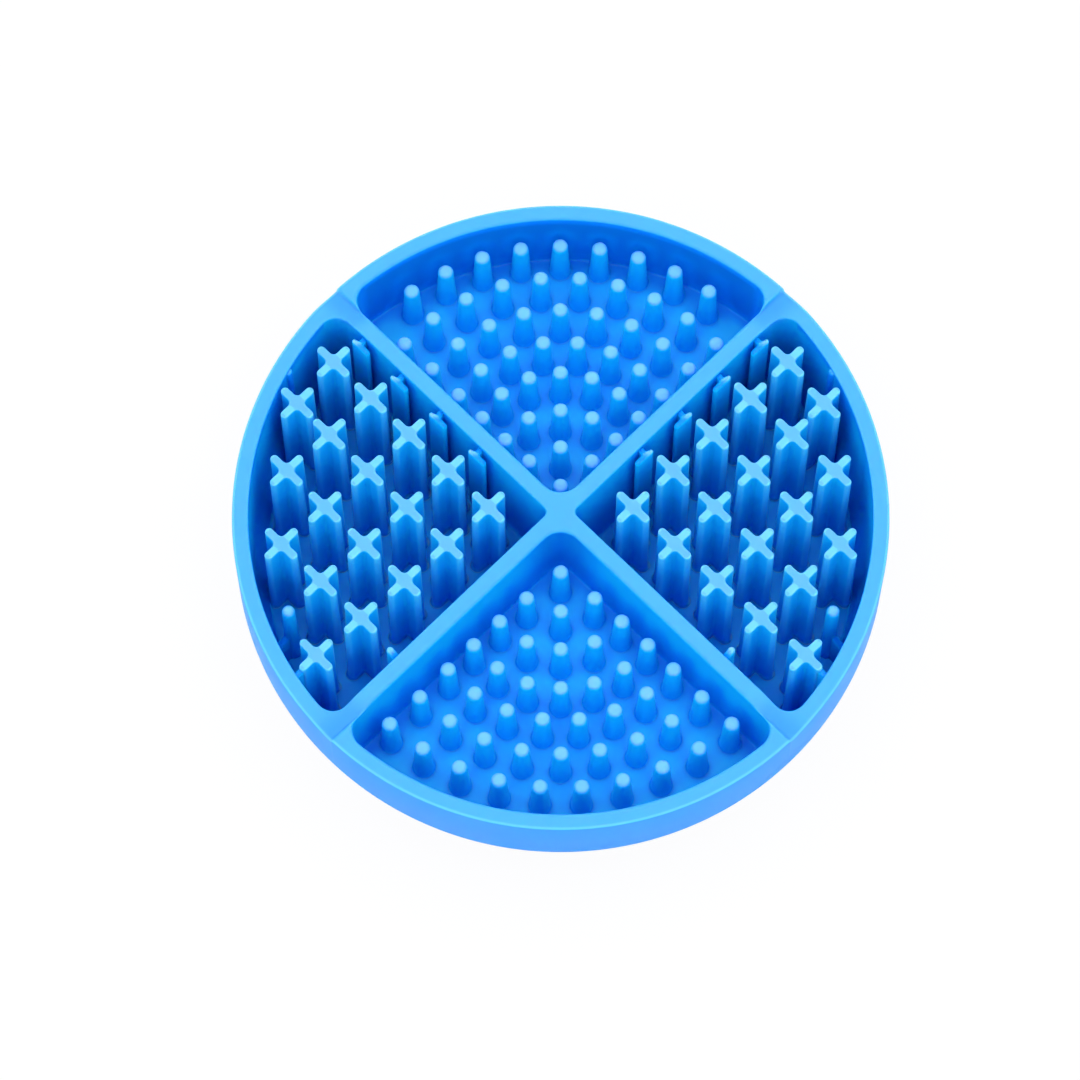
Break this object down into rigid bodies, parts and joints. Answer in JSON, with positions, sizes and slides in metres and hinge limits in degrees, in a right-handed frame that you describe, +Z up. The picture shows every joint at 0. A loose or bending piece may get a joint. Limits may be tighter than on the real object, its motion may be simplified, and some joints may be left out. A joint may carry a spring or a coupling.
{
  "type": "slow feeder bowl",
  "caption": "Round silicone slow feeder bowl: crossing dividers make wells that hold conical nubs or upright posts of X section, inside a flat rim with a short skirt.",
  "frame": {"origin": "middle of the underside, on the surface that the bowl stands on", "axes": "+Z up, +Y towards the back of the bowl, +X to the right; nub wells lie along Y, X-post wells along X"},
  "size_m": [0.2, 0.2, 0.05],
  "materials": {
    "silicone": "satin"
  },
  "bodies": {
    "root": {"base_wall_back": "silicone", "base_wall_front": "silicone", "base_wall_left": "silicone", "base_wall_right": "silicone", "cross_floor_left": "silicone", "cross_floor_right": "silicone", "cross_post_left_01": "silicone", "cross_post_left_02": "silicone", "cross_post_left_03": "silicone", "cross_post_left_04": "silicone", "cross_post_left_05": "silicone", "cross_post_left_06": "silicone", "cross_post_left_07": "silicone", "cross_post_left_08": "silicone", "cross_post_left_09": "silicone", "cross_post_left_10": "silicone", "cross_post_left_11": "silicone", "cross_post_left_12": "silicone", "cross_post_left_13": "silicone", "cross_post_left_14": "silicone", "cross_post_left_15": "silicone", "cross_post_left_16": "silicone", "cross_post_left_17": "silicone", "cross_post_left_18": "silicone", "cross_post_right_01": "silicone", "cross_post_right_02": "silicone", "cross_post_right_03": "silicone", "cross_post_right_04": "silicone", "cross_post_right_05": "silicone", "cross_post_right_06": "silicone", "cross_post_right_07": "silicone", "cross_post_right_08": "silicone", "cross_post_right_09": "silicone", "cross_post_right_10": "silicone", "cross_post_right_11": "silicone", "cross_post_right_12": "silicone", "cross_post_right_13": "silicone", "cross_post_right_14": "silicone", "cross_post_right_15": "silicone", "cross_post_right_16": "silicone", "cross_post_right_17": "silicone", "cross_post_right_18": "silicone", "divider_back_left": "silicone", "divider_back_right": "silicone", "divider_front_left": "silicone", "divider_front_right": "silicone", "hub": "silicone", "nub_bed_back": "silicone", "nub_bed_front": "silicone", "rim_back": "silicone", "rim_front": "silicone", "rim_left": "silicone", "rim_right": "silicone", "wall_post_left_1": "silicone", "wall_post_right_1": "silicone"}
  },
  "joints": []
}
